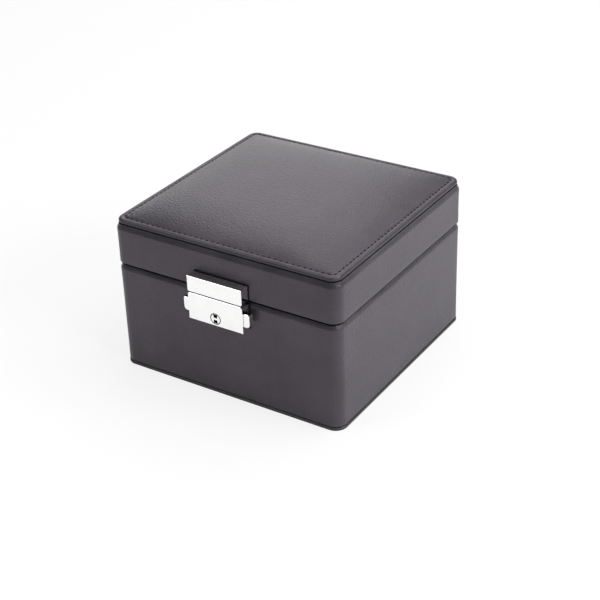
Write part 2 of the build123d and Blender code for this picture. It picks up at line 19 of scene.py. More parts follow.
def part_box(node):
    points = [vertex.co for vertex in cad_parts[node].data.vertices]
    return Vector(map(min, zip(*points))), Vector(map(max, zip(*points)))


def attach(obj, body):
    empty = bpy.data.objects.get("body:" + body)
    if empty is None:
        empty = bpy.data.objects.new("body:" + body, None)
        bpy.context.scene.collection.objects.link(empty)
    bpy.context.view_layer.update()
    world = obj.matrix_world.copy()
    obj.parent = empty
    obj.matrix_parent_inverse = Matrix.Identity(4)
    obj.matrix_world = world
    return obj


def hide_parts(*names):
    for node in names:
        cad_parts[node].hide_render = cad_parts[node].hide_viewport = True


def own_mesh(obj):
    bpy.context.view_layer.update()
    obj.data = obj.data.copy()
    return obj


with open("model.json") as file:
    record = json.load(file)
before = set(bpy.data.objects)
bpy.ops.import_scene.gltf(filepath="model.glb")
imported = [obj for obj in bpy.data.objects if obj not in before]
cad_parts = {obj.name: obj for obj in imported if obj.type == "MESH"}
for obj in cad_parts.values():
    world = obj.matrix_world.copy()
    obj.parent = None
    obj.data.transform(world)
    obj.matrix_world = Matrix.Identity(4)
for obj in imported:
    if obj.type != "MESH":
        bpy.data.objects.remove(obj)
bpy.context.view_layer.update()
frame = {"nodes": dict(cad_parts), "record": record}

# %% [markdown]
# ## Sizes
#
# Blender works in metres, but a box of this size is easier to think about in millimetres. So each
# mesh is shaped in millimetres and scaled once at the end. The outer sizes of each piece are read
# from the frame, so that the leather fits its boards. Radii, gaps and thicknesses are named here,
# each where it is first needed.

# %% Sizes read from the frame, in millimetres
mm = 0.001


def span(node):
    """Lowest and highest corner of a node, in millimetres."""
    low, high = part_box(node)
    return low / mm, high / mm


base_low, base_high = span("base_leather")
lid_low, lid_high = span("lid_leather")
pad_low, pad_high = span("top_pad_leather")
box_width = base_high.x - base_low.x
box_depth = base_high.y - base_low.y
base_height = base_high.z - base_low.z
lid_height = lid_high.z - lid_low.z
print(f"box {box_width:.1f} x {box_depth:.1f} x {pad_high.z:.1f} mm")

# %% [markdown]
# ## Camera
#
# The photograph looks down on the front right corner. Its angles and distance came from fitting
# the box's corners, and a long lens keeps the upright edges nearly parallel. Turning the camera
# about its own axis gives the slight lean of the picture, and the shift puts the box a little off
# the centre, as it is in the photograph.


# %% Camera
def add_object(name, data):
    """A new object of the scene, at the origin."""
    made = bpy.data.objects.new(name, data)
    bpy.context.scene.collection.objects.link(made)
    return made


camera_place = Vector((0.3816, -0.57337, 0.42269))
camera_azimuth = math.radians(33.77)
camera_elevation = math.radians(28.72)
camera_roll = math.radians(-2.19)

camera_data = bpy.data.cameras.new("camera")
camera_data.lens = 84.75
camera_data.sensor_width = 36
camera_data.shift_x = 0.0155
camera_data.shift_y = -0.0522
camera = add_object("camera", camera_data)
camera.matrix_world = (
    Matrix.Translation(camera_place)
    @ Matrix.Rotation(camera_azimuth, 4, "Z")
    @ Matrix.Rotation(math.pi / 2 - camera_elevation, 4, "X")
    @ Matrix.Rotation(camera_roll, 4, "Z")
)
bpy.context.scene.camera = camera
bpy.context.scene.view_settings.view_transform = "Standard"
print("camera with a lens of", camera_data.lens, "mm")

# %% [markdown]
# ## Building materials from code
#
# A material is a small graph. These helpers keep the graphs short to write: one adds a node and
# sets its inputs, one starts a material whose Principled shader is ready, and one feeds it.


# %% Helpers for node graphs
def add_node(tree, kind, **inputs):
    """A node of a kind. A keyword names an input, or a setting of the node; a socket is linked."""
    node = tree.nodes.new(kind)
    for name, value in inputs.items():
        if hasattr(node, name):
            setattr(node, name, value)
            continue
        socket = node.inputs[int(name[1:])] if name[0] == "_" else node.inputs[name.replace("_", " ")]
        if isinstance(value, bpy.types.NodeSocket):
            tree.links.new(value, socket)
        else:
            socket.default_value = value
    return node


def new_material(name, **settings):
    """A material with a Principled shader: returns it, its tree, the shader and object coordinates."""
    material = bpy.data.materials.new(name)
    material.use_nodes = True
    tree = material.node_tree
    shader = tree.nodes["Principled BSDF"]
    for key, value in settings.items():
        shader.inputs[key.replace("_", " ")].default_value = value
    place = add_node(tree, "ShaderNodeTexCoord").outputs["Object"]
    print("material", name)
    return material, tree, shader, place


def feed(tree, shader, **sockets):
    """Link each socket to the shader's input that its keyword names."""
    for name, socket in sockets.items():
        tree.links.new(socket, shader.inputs[name.replace("_", " ")])


def new_group(name, inputs, outputs):
    """An empty shader group: returns the group, its input node and its output node."""
    group = bpy.data.node_groups.new(name, "ShaderNodeTree")
    for socket, kind, value in inputs:
        made = group.interface.new_socket(socket, in_out="INPUT", socket_type=kind)
        if value is not None:
            made.default_value = value
    for socket, kind in outputs:
        group.interface.new_socket(socket, in_out="OUTPUT", socket_type=kind)
    return group, group.nodes.new("NodeGroupInput"), group.nodes.new("NodeGroupOutput")


def use_group(tree, group, **inputs):
    """A group placed in a material, with its own values."""
    return add_node(tree, "ShaderNodeGroup", node_tree=group, **inputs)


def math_node(tree, operation, a, b=0.0, c=0.0):
    """One sum or other operation on numbers or sockets: returns its result."""
    return add_node(tree, "ShaderNodeMath", operation=operation, _0=a, _1=b, _2=c).outputs[0]


# %% [markdown]
# ## Smooth black leather
#
# The leather has a low sheen and a very fine grain: small cells with soft creases between them.
# On top of that, a hide is never quite even. It has faint clouds, some centimetres wide, where it
# is a little lighter or glossier. Both are built once as a group, because the suede, the chrome
# and the foam need such a pattern too, at their own scale.

# %% Group: grain and clouds
SCALAR = "NodeSocketFloat"
grain_group, grain_in, grain_out = new_group(
    "grain_and_clouds",
    [("Place", "NodeSocketVector", None), ("Cells", SCALAR, 1100.0), ("Clouds", SCALAR, 45.0)],
    [("Height", SCALAR), ("Cloud", SCALAR), ("Speck", SCALAR)],
)
grain_cells = add_node(
    grain_group,
    "ShaderNodeTexVoronoi",
    feature="F1",
    Vector=grain_in.outputs["Place"],
    Scale=grain_in.outputs["Cells"],
    Randomness=0.9,
)
grain_fine = add_node(
    grain_group,
    "ShaderNodeTexNoise",
    Vector=grain_in.outputs["Place"],
    Scale=grain_in.outputs["Cells"],
    Detail=3.0,
)
grain_clouds = add_node(
    grain_group,
    "ShaderNodeTexNoise",
    Vector=grain_in.outputs["Place"],
    Scale=grain_in.outputs["Clouds"],
    Detail=3.0,
    Roughness=0.55,
)
grain_mound = math_node(grain_group, "SUBTRACT", 1.0, grain_cells.outputs["Distance"])
grain_height = math_node(grain_group, "MULTIPLY_ADD", grain_fine.outputs["Fac"], 0.5, grain_mound)
grain_group.links.new(grain_height, grain_out.inputs["Height"])
grain_group.links.new(grain_clouds.outputs["Fac"], grain_out.inputs["Cloud"])
grain_group.links.new(grain_fine.outputs["Fac"], grain_out.inputs["Speck"])


# %% Helpers that turn a mask into a colour, a number or a bump
def tint(tree, mask, dark, light, low=0.3, high=0.7):
    """A colour between dark and light, where the mask goes from low to high."""
    ramp = add_node(tree, "ShaderNodeValToRGB", Fac=mask)
    ramp.color_ramp.elements[0].position = low
    ramp.color_ramp.elements[1].position = high
    ramp.color_ramp.elements[0].color = (*dark, 1)
    ramp.color_ramp.elements[1].color = (*light, 1)
    return ramp.outputs["Color"]


def between(tree, mask, at_low, at_high, low=0.3, high=0.7):
    """A number between two, where the mask goes from low to high."""
    node = add_node(tree, "ShaderNodeMapRange", _0=mask, _1=low, _2=high, _3=at_low, _4=at_high)
    return node.outputs[0]


def bump(tree, height, depth):
    """A normal from a height that is 0 to 1, at a real depth in metres."""
    return add_node(tree, "ShaderNodeBump", Height=height, Distance=depth, Strength=1.0).outputs[0]


# %% Leather material
box_leather, tree, shader, place = new_material("box_leather", Specular_Tint=(1.0, 0.83, 0.98, 1))
hide = use_group(tree, grain_group, Place=place, Cells=1000.0, Clouds=45.0)
gloss = between(tree, hide.outputs["Cloud"], 0.28, 0.33)
feed(
    tree,
    shader,
    Base_Color=tint(tree, hide.outputs["Cloud"], (0.036, 0.034, 0.040), (0.055, 0.051, 0.060)),
    Roughness=math_node(tree, "MULTIPLY_ADD", hide.outputs["Speck"], 0.1, gloss),
    Normal=bump(tree, hide.outputs["Height"], 0.00013),
)

# %% [markdown]
# ## Suede lining
#
# Brushed suede cloth scatters light from its nap, so it is matt with a soft sheen at grazing
# angles. Stroked patches lie in another direction and look lighter.

# %% Suede material
suede, tree, shader, place = new_material(
    "suede", Roughness=0.95, Sheen_Weight=0.35, Sheen_Roughness=0.45, Specular_IOR_Level=0.15
)
nap = use_group(tree, grain_group, Place=place, Cells=2600.0, Clouds=70.0)
stroked = math_node(tree, "MULTIPLY_ADD", nap.outputs["Speck"], 0.35, nap.outputs["Cloud"])
feed(
    tree,
    shader,
    Base_Color=tint(tree, stroked, (0.030, 0.029, 0.031), (0.060, 0.058, 0.062), 0.4, 0.95),
    Normal=bump(tree, nap.outputs["Height"], 0.00006),
)

# %% [markdown]
# ## Metals
#
# The lock is chromed: almost a mirror, with only a breath of haze. The hinges and the inner works
# are plain rolled steel, whose fine lines spread the reflections.

# %% Chrome and steel
chrome, tree, shader, place = new_material("chrome", Metallic=1.0)
haze = use_group(tree, grain_group, Place=place, Cells=900.0, Clouds=160.0)
feed(
    tree,
    shader,
    Base_Color=tint(tree, haze.outputs["Cloud"], (0.90, 0.90, 0.885), (0.94, 0.94, 0.925)),
    Roughness=between(tree, haze.outputs["Cloud"], 0.05, 0.11),
)

steel, tree, shader, place = new_material("rolled_steel", Metallic=1.0)
drawn_out = add_node(tree, "ShaderNodeMapping", Vector=place, Scale=(60.0, 2500.0, 2500.0))
rolled = add_node(tree, "ShaderNodeTexNoise", Vector=drawn_out.outputs[0], Scale=1.0, Detail=2.0)
feed(
    tree,
    shader,
    Base_Color=tint(tree, rolled.outputs["Fac"], (0.42, 0.42, 0.43), (0.58, 0.58, 0.59)),
    Roughness=between(tree, rolled.outputs["Fac"], 0.25, 0.42),
    Normal=bump(tree, rolled.outputs["Fac"], 0.00001),
)

# %% [markdown]
# ## Board, foam, foot cloth, thread and painted shade
#
# These show only at cut edges, under the box or as thin lines. Each still gets what tells it apart:
# fibres in the board, cells in the foam, a weave in the cloth and plies in the thread. The painted
# shade black is a dull near-black that paints the shade in the gap and the seam on turned-over
# leather, on the card under the pad, in the needle holes, round the lock and in the key barrel.

# %% Board and foam
fibreboard, tree, shader, place = new_material("fibreboard", Roughness=0.85)
fibre_place = add_node(tree, "ShaderNodeMapping", Vector=place, Scale=(900.0, 900.0, 3500.0))
fibres = add_node(tree, "ShaderNodeTexNoise", Vector=fibre_place.outputs[0], Scale=1.0, Detail=4.0)
feed(
    tree,
    shader,
    Base_Color=tint(tree, fibres.outputs["Fac"], (0.22, 0.14, 0.08), (0.42, 0.30, 0.19)),
    Normal=bump(tree, fibres.outputs["Fac"], 0.00008),
)

foam, tree, shader, place = new_material("foam", Roughness=0.95)
pores = use_group(tree, grain_group, Place=place, Cells=1500.0, Clouds=60.0)
feed(
    tree,
    shader,
    Base_Color=tint(tree, pores.outputs["Height"], (0.35, 0.35, 0.33), (0.6, 0.6, 0.57), 0.6, 1.1),
    Normal=bump(tree, pores.outputs["Height"], 0.0002),
)

# %% Foot cloth, thread and painted shade black
foot_cloth, tree, shader, place = new_material("foot_cloth", Roughness=0.28)
wave = {"Vector": place, "Scale": 480.0, "Distortion": 0.4}
warp, weft = [
    add_node(tree, "ShaderNodeTexWave", bands_direction=way, **wave).outputs["Fac"] for way in "XY"
]
weave = math_node(tree, "MAXIMUM", warp, weft)
feed(
    tree,
    shader,
    Base_Color=tint(tree, weave, (0.022, 0.021, 0.023), (0.04, 0.038, 0.042)),
    Normal=bump(tree, weave, 0.00003),
)

thread, tree, shader, place = new_material("thread", Roughness=0.5, Sheen_Weight=0.2)
ply_place = add_node(tree, "ShaderNodeMapping", Vector=place, Rotation=(0.0, 0.0, math.pi / 4))
plies = add_node(tree, "ShaderNodeTexWave", Vector=ply_place.outputs[0], Scale=900.0, Distortion=1.0)
feed(
    tree,
    shader,
    Base_Color=tint(tree, plies.outputs["Fac"], (0.016, 0.015, 0.017), (0.04, 0.038, 0.042)),
    Normal=bump(tree, plies.outputs["Fac"], 0.00004),
)

# A near-black that paints shade where the box has dark gaps, seams, holes and openings.
painted_shade_black, tree, shader, place = new_material(
    "painted_shade_black", Base_Color=(0.008, 0.008, 0.009, 1), Roughness=0.95, Specular_IOR_Level=0.1
)

# %% [markdown]
# ## Floor and light
#
# The box stands on a white sweep. The camera sees the floor mostly by its own colour, and what
# mirrors it does so a little, so it stays white without more light on the box. The rest of it is
# lit, which keeps a soft, faint shadow. Seen from below it is clear, so that the foot can be seen.
#
# Black leather shows mostly what it mirrors. Its walls mirror the floor, its top the lights behind
# the box, and every rounded edge sweeps past the dark room above the floor, which draws a dark
# line beside a light one. So the room is dim, and each softbox stands where the leather needs it:
# one on the right for that wall, high and low ones behind for the sheen of the top, an overhead
# one for the floor, and a weak one in front on the left.


# %% Floor
def seen_directly(tree):
    """Light Path, and a mask that is 1 for rays from the camera, also through glass."""
    ray = add_node(tree, "ShaderNodeLightPath")
    camera_ray, through_glass = ray.outputs["Is Camera Ray"], ray.outputs["Is Transmission Ray"]
    return ray, math_node(tree, "MAXIMUM", camera_ray, through_glass)


floor_size = 6.0
floor_own_share = 0.77
mirrored_own_share = 0.15

floor_mesh = bpy.data.meshes.new("floor")
bm = bmesh.new()
bmesh.ops.create_grid(bm, x_segments=1, y_segments=1, size=floor_size / 2)
bm.to_mesh(floor_mesh)
bm.free()
floor = add_object("floor", floor_mesh)

sweep = bpy.data.materials.new("white_sweep")
sweep.use_nodes = True
tree = sweep.node_tree
tree.nodes.remove(tree.nodes["Principled BSDF"])
paper = add_node(tree, "ShaderNodeBsdfDiffuse", Color=(0.86, 0.86, 0.87, 1))
glow = add_node(tree, "ShaderNodeEmission", Color=(1.0, 1.0, 1.0, 1), Strength=1.0)
ray, seen = seen_directly(tree)
mirrored = math_node(tree, "MULTIPLY", ray.outputs["Is Glossy Ray"], mirrored_own_share)
own_share = math_node(tree, "MULTIPLY_ADD", seen, floor_own_share, mirrored)
lit = add_node(tree, "ShaderNodeMixShader", _0=own_share, _1=paper.outputs[0], _2=glow.outputs[0])
clear = add_node(tree, "ShaderNodeBsdfTransparent")
side = add_node(tree, "ShaderNodeNewGeometry").outputs["Backfacing"]
surface = add_node(tree, "ShaderNodeMixShader", _0=side, _1=lit.outputs[0], _2=clear.outputs[0])
tree.links.new(surface.outputs[0], tree.nodes["Material Output"].inputs["Surface"])
floor_mesh.materials.append(sweep)
print("floor", floor_size, "m across")

# %% Lights
box_middle = Vector((0, 0, 0.05))
lamp_distance = 1.6


def softbox(name, azimuth, elevation, size, power):
    """A rectangular light that faces the box; azimuth 0 is in front of it and 90 on its right."""
    around, above = math.radians(azimuth), math.radians(elevation)
    level = math.cos(above)
    away = Vector((math.sin(around) * level, -math.cos(around) * level, math.sin(above)))
    place = box_middle + away * lamp_distance
    data = bpy.data.lights.new(name, "AREA")
    data.shape = "RECTANGLE"
    data.size, data.size_y = size
    data.energy = power
    lamp = add_object(name, data)
    lamp.location = place
    lamp.rotation_mode = "QUATERNION"
    lamp.rotation_quaternion = (box_middle - place).to_track_quat("-Z", "Y")
    lamp.visible_camera = False
    print(name, power, "W")


softbox("right_softbox", 90, 32, (1.12, 0.45), 18.2)
softbox("overhead_softbox", 0, 89.9, (1.4, 1.4), 14.0)
softbox("rear_high_softbox", 180, 52, (0.82, 0.6), 4.4)
softbox("right_rear_softbox", 135, 52, (0.82, 0.6), 6.6)
softbox("left_rear_softbox", 215, 27, (0.64, 0.38), 2.5)
softbox("left_rear_low_softbox", 225, 5, (1.32, 0.28), 2.9)
softbox("left_front_softbox", 315, 48, (0.82, 0.7), 4.5)

# %% Room
room_light = 0.02
world = bpy.data.worlds.new("studio")
bpy.context.scene.world = world
world.use_nodes = True
tree = world.node_tree
backdrop = tree.nodes["Background"]
ray, seen = seen_directly(tree)
white_share = math_node(tree, "MULTIPLY_ADD", seen, 1 - room_light, room_light)
tree.links.new(white_share, backdrop.inputs["Strength"])
backdrop.inputs["Color"].default_value = (1, 1, 1, 1)
print("light of the room", room_light)

# %% [markdown]
# ## Shaping pieces
#
# Every new piece starts as a simple block whose edges are bevelled, whose faces are inset and
# whose open rims are drawn on, as a box maker folds and turns leather. The helpers find edges by
# where they lie, which keeps the steps readable.


# %% Helpers that start and finish a piece
def finish_piece(name, bm, material, body, replaces=(), sharp_angle=35):
    """Turn a bmesh in millimetres into a piece of the scene that rides on a body."""
    bmesh.ops.scale(bm, vec=(mm, mm, mm), verts=bm.verts)
    mesh = bpy.data.meshes.new(name)
    bm.to_mesh(mesh)
    bm.free()
    mesh.materials.append(material)
    mesh.shade_smooth()
    mesh.set_sharp_from_angle(angle=math.radians(sharp_angle))
    piece = add_object(name, mesh)
    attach(piece, body)
    if replaces:
        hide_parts(*replaces)
    print(name, len(mesh.polygons), "faces")
    return piece


def block(low, high):
    """A bmesh of one block between two corners."""
    bm = bmesh.new()
    bmesh.ops.create_cube(bm, size=1)
    size = Vector(high) - Vector(low)
    bmesh.ops.scale(bm, vec=size, verts=bm.verts)
    bmesh.ops.translate(bm, vec=(Vector(low) + Vector(high)) / 2, verts=bm.verts)
    return bm


# %% Helpers that find, round and cut edges
def bevel_edges(bm, edges, width, segments):
    """Round a set of edges."""
    rounding = {"affect": "EDGES", "profile": 0.5, "material": -1}
    bmesh.ops.bevel(bm, geom=list(edges), offset=width, segments=segments, **rounding)


def upright_edges(bm):
    """Edges that run straight up."""
    return [e for e in bm.edges if abs((e.verts[0].co - e.verts[1].co).normalized().z) > 0.99]


def level_edges(bm, z):
    """Edges that lie at one height."""
    return [e for e in bm.edges if all(abs(v.co.z - z) < 1e-4 for v in e.verts)]


def face_towards(bm, direction):
    """The face that lies furthest in a direction, and of several the largest."""
    way = Vector(direction)
    return max(bm.faces, key=lambda f: (round(f.calc_center_median().dot(way), 3), f.calc_area()))


def slice_block(bm, axis, places, keep=None):
    """Cut across the mesh at each place along an axis, only through faces that keep allows."""
    normal = Vector([float(i == axis) for i in range(3)])
    for value in places:
        faces = [f for f in bm.faces if keep is None or keep(f)]
        edges = {e for f in faces for e in f.edges}
        verts = {v for f in faces for v in f.verts}
        bmesh.ops.bisect_plane(
            bm, geom=[*verts, *edges, *faces], dist=1e-4, plane_co=normal * value, plane_no=normal
        )


# %% Helpers for walls and even steps
def thicken(bm, thickness):
    """Give an open sheet a second skin below it and close its borders."""
    bmesh.ops.dissolve_degenerate(bm, dist=0.02, edges=bm.edges)
    bmesh.ops.recalc_face_normals(bm, faces=bm.faces)
    bm.normal_update()
    made = bmesh.ops.extrude_face_region(bm, geom=bm.faces[:], use_keep_orig=True)["geom"]
    bm.normal_update()
    skin = [g for g in made if isinstance(g, bmesh.types.BMVert)]
    moves = [(v, -v.normal * thickness * min(v.calc_shell_factor(), 1.5)) for v in skin]
    for vert, move in moves:
        vert.co += move
    bmesh.ops.recalc_face_normals(bm, faces=bm.faces)


def steps(low, high, count):
    """Evenly spaced numbers from low to high, both ends included."""
    return [low + (high - low) * i / count for i in range(count + 1)]


def ease(x):
    """A smooth step from 0 to 1."""
    x = max(0.0, min(1.0, x))
    return x * x * (3 - 2 * x)


# %% [markdown]
# ## Leather round the base and the lid
#
# On the real box the leather is glued round the outside of the boards, turned over the rim and
# glued down inside the mouth. An edge that shows is not a plain quarter round: the leather starts
# to lean in some way below it and turns over quickly at the top. The long lean looks away from the
# bright floor, which gives the soft dark band below each edge in the photograph.
#
# So an edge is first bevelled, and each ring of the bevel is then moved to its place in a drawn
# section. One function wraps both cases with the rim up, and the lid's wrap is mirrored upside
# down. The rim is cut away at the back, where the hinge leaves are let in. The base's rim lies a
# touch lower than its solid. The leather that is turned over the base's rim and the lid's top gets
# the near-black painted shade colour, which paints the shade in the gap and in the seam under the
# pad.

# %% Leather wrap: sizes
corner_radius = 6.5
corner_segments = 12
wall_and_leather = 8.0
mouth_radius = 0.8
mouth_segments = 3
turned_in = 8.0
mouth_corner = 0.3
wrap_thickness = 0.75
cut_pitch = 6.0
cut_margin = 10.0
row_margin = 4.0
fewest_rows = 4
wave_height = 0.07
wave_width = 24.0
wave_rise = 30.0
wave_start = 3.0
wave_blend = 5.0
drawn_edge = ((0, 3.0), (0.05, 2.5), (0.52, 1.5), (0.98, 0.6), (1.13, 0.25), (1.28, 0.07), (1.5, 0))
lid_top_edge = ((0, 3.3), (0.05, 2.75), (0.52, 1.8), (0.92, 0.95), (1.06, 0.5), (1.2, 0.15), (1.4, 0))
plain_edge = ((0, 0.7), (0.02, 0.5), (0.09, 0.35), (0.2, 0.2), (0.35, 0.09), (0.5, 0.02), (0.7, 0))
foot_edge = ((0, 1.1), (0.05, 0.8), (0.16, 0.52), (0.33, 0.28), (0.55, 0.1), (0.75, 0.02), (0.95, 0))
rim_ease = 0.3
# Widths of the painted shade on the base's rim and on the lid's top, in the seam under the pad.
painted_shade_rim = 0.6
painted_shade_lid_top = 0.35
hinge_low, hinge_high = span("hinge_pins")
hinge_leaf_front = span("hinge_base_leaves")[0].y
lid_gap = lid_low.z - base_high.z
hinge_y = (hinge_low.y + hinge_high.y) / 2
hinge_spread = 82.0
hinge_length = hinge_high.x - hinge_low.x - hinge_spread
mortise_clearance = 0.15
mortise_surround = 6.0
mortise_reach = 14.0
barrel_room = 2.75
print("gap under the lid", round(lid_gap, 2), "mm")


# %% Leather wrap: the notches for the hinges
def cut_mortises(bm, height):
    """Take the leather away at the back of the rim, where the hinge leaves and barrels lie."""
    offset = hinge_y - box_depth / 2
    notch_depth = math.sqrt(barrel_room**2 - offset**2) - lid_gap / 2
    front_edge = hinge_leaf_front - mortise_clearance
    half = hinge_length / 2 + mortise_clearance
    ends = [side * hinge_spread / 2 + end for side in (-1, 1) for end in (-half, half)]

    def near_rim(face):
        centre = face.calc_center_median()
        return centre.y > front_edge - mortise_surround and centre.z > height - mortise_reach

    slice_block(bm, 0, ends, near_rim)
    slice_block(bm, 1, [front_edge], near_rim)
    slice_block(bm, 2, [height - notch_depth], near_rim)
    gone = []
    for face in bm.faces:
        centre = face.calc_center_median()
        beside = any(abs(centre.x - side * hinge_spread / 2) < half for side in (-1, 1))
        if beside and centre.y > front_edge and centre.z > height - notch_depth:
            gone.append(face)
    bmesh.ops.delete(bm, geom=gone, context="FACES")


# %% Leather wrap: its sides and edges
def uneven_sides(bm, height):
    """Let the leather lie slightly unevenly between its edges, as over real boards."""
    bm.normal_update()
    moves = []
    for vert in bm.verts:
        out = Vector((vert.normal.x, vert.normal.y, 0))
        if out.length > 0.5 and out.dot(vert.co) > 0:
            inside = ease((min(height - vert.co.z, vert.co.z) - wave_start) / wave_blend)
            x, y, z = vert.co
            wave = noise.noise(Vector((x / wave_width, y / wave_width, z / wave_rise)))
            moves.append((vert, out.normalized() * (wave - 1) * wave_height * inside))
    for vert, move in moves:
        vert.co += move


def shape_level_edge(bm, z, section):
    """Give the outer edge at one height a section: (inset, distance from the edge) of each ring."""
    width = section[-1][0]
    bevel_edges(bm, level_edges(bm, z), width, len(section) - 1)
    for vert in bm.verts:
        along = abs(vert.co.z - z)
        if along > width + 1e-4:
            continue
        turned = math.asin(min(1, 1 - along / width))
        ring = round(turned / (math.pi / 2) * (len(section) - 1))
        inset, distance = section[ring]
        anchor_x = max(-box_width / 2 + corner_radius, min(box_width / 2 - corner_radius, vert.co.x))
        anchor_y = max(-box_depth / 2 + corner_radius, min(box_depth / 2 - corner_radius, vert.co.y))
        anchor = Vector((anchor_x, anchor_y, vert.co.z))
        vert.co = anchor + (vert.co - anchor).normalized() * (corner_radius - inset)
        vert.co.z = z + distance * (1 if vert.co.z > z or z == 0 else -1)


def square_corners(bm, flat, inset):
    """Draw the small arcs at a level face's corners together into four points."""
    for side_x, side_y in ((-1, -1), (1, -1), (1, 1), (-1, 1)):
        arc = [v for v in flat.verts if v.co.x * side_x > 0 and v.co.y * side_y > 0]
        place = (side_x * (box_width / 2 - inset), side_y * (box_depth / 2 - inset), arc[0].co.z)
        bmesh.ops.pointmerge(bm, verts=arc, merge_co=place)


# %% Leather wrap: the whole of it
def leather_wrap(height, rim, closed_end, painted_shade_end=0.0):
    """Leather over the four walls of a case: closed end at z = 0, open rim above."""
    bm = block((-box_width / 2, -box_depth / 2, 0), (box_width / 2, box_depth / 2, height))
    bevel_edges(bm, upright_edges(bm), corner_radius, corner_segments)
    shape_level_edge(bm, height, rim)
    shape_level_edge(bm, 0, closed_end)
    for direction, edge in ((1, rim), (-1, closed_end)):
        flat = face_towards(bm, (0, 0, direction))
        inward = corner_radius - edge[-1][0] - mouth_corner
        bmesh.ops.inset_region(bm, faces=[flat], thickness=inward, use_even_offset=True)
        square_corners(bm, flat, corner_radius - mouth_corner)
        flat = face_towards(bm, (0, 0, direction))
        inward = wall_and_leather - corner_radius + mouth_corner
        bmesh.ops.inset_region(bm, faces=[flat], thickness=inward, use_even_offset=True)
        if direction > 0:
            mouth_edges = list(flat.edges)
        bmesh.ops.delete(bm, geom=[flat], context="FACES_ONLY")
    drawn = bmesh.ops.extrude_edge_only(bm, edges=mouth_edges)["geom"]
    drawn = [g for g in drawn if isinstance(g, bmesh.types.BMVert)]
    bmesh.ops.translate(bm, vec=(0, 0, -turned_in), verts=drawn)
    bevel_edges(bm, mouth_edges, mouth_radius, mouth_segments)
    for axis, length in ((0, box_width), (1, box_depth)):
        cuts = round((length / 2 - cut_margin) / (cut_pitch / 2))
        reach = cuts * cut_pitch / 2
        slice_block(bm, axis, steps(-reach, reach, cuts))
    rows = steps(row_margin, height - row_margin, max(fewest_rows, int(height / cut_pitch)))
    slice_block(bm, 2, rows, lambda f: abs(f.normal.z) < 0.5)
    uneven_sides(bm, height)
    cut_mortises(bm, height)
    bmesh.ops.remove_doubles(bm, verts=bm.verts, dist=0.01)
    thicken(bm, wrap_thickness)
    # Faces turned over the rim, and those near the closed end where it is asked for, get the second
    # material: painted shade of the gap and the seam.
    for face in bm.faces:
        z, up = face.calc_center_median().z, face.normal.z
        if (z > height - painted_shade_rim and up > 0.4) or (z < painted_shade_end and up < -0.4):
            face.material_index = 1
    return bm


# %% Leather wrap: base and lid
wrap = leather_wrap(base_height - rim_ease, drawn_edge, foot_edge)
bmesh.ops.translate(wrap, vec=(0, 0, base_low.z), verts=wrap.verts)
base_wrap = finish_piece("base_leather_wrap", wrap, box_leather, "base", ["base_leather"])

wrap = leather_wrap(lid_height, plain_edge, lid_top_edge, painted_shade_lid_top)
bmesh.ops.scale(wrap, vec=(1, 1, -1), verts=wrap.verts)
bmesh.ops.reverse_faces(wrap, faces=wrap.faces)
bmesh.ops.translate(wrap, vec=(0, 0, lid_high.z), verts=wrap.verts)
lid_wrap = finish_piece("lid_leather_wrap", wrap, box_leather, "lid", ["lid_leather"])
# Second material: the painted shade black of the gap and the seam under the pad.
for piece in (base_wrap, lid_wrap):
    piece.data.materials.append(painted_shade_black)

# %% [markdown]
# ## Foot
#
# The box stands on a card covered in black leathercloth, which hides the turned-under leather. Its
# side is the dark line along the foot. The leather above it is rounded under, as on the real box,
# where it mirrors the white floor as a fine light line. The card is a block with rounded corners.

# %% Foot card
foot_low, foot_high = span("bottom_cover")
foot_reach = 0.22
foot_top_edge = 0.6
foot_wear = 0.1
foot_half = Vector((box_width / 2 + foot_reach, box_depth / 2 + foot_reach, 0))

foot = block((-foot_half.x, -foot_half.y, foot_low.z), (foot_half.x, foot_half.y, foot_high.z))
bevel_edges(foot, upright_edges(foot), corner_radius + foot_reach, corner_segments)
for level, radius in ((foot_high.z, foot_top_edge), (foot_low.z, foot_wear)):
    bevel_edges(foot, level_edges(foot, level), radius, 4)
finish_piece("foot_card", foot, foot_cloth, "base", ["bottom_cover"])

# %% [markdown]
# ## Padded top
#
# The top is one sheet of leather over thin foam. Near its edge a line of stitches pulls it down,
# so outside the line there is a narrow rolled border, and inside it the pad swells up softly.
#
# A grid with its corner squares wrapped into quarter circles suits this shape: its rings run
# parallel to the edge all round, so the border and the crease can follow one profile. Inside the
# crease, the height is the sum of two flat-topped mounds: a low one that rises at once beside the
# stitches, and a higher one that swells slowly towards the middle.

# %% Padded top: its sizes and section
pad_inset = (box_width - (pad_high.x - pad_low.x)) / 2
pad_corner = corner_radius - pad_inset / 2
arc_inset = pad_inset + pad_corner
border_height = 2.85
border_radius = 1.65
foot_roll = 0.7
foot_gap = 0.5
stitch_inset = 4.5
crease_depth = 0.35
crease_width = 1.3
crease_gaps = (0.25, 0.35, 0.5, 0.65)
grid_pitch = 2.5
roll_height = 0.8
roll_power = 14
crown_height = pad_high.z - pad_low.z - border_height - roll_height
crown_power = 4
cover_thickness = 0.9
print("crown of the pad", round(crown_height, 2), "mm")


def border_section():
    """Points of the border from its foot to the crease: inset from the box's side, and height."""
    points = []
    for angle in steps(-math.pi / 2, 0, 4)[:-1]:
        along = foot_roll * (1 - math.cos(angle))
        points.append((pad_inset + along, foot_gap + foot_roll * (1 + math.sin(angle))))
    for angle in steps(0, math.pi / 2, 8):
        along = border_radius * (1 - math.cos(angle))
        up = border_radius * (math.sin(angle) - 1)
        points.append((pad_inset + along, border_height + up))
    flat_start = pad_inset + border_radius
    for share in (0.3, 0.55, 0.8, 1.0):
        inset = flat_start + share * (stitch_inset - flat_start)
        points.append((inset, border_height - crease_depth * ease(share)))
    return points


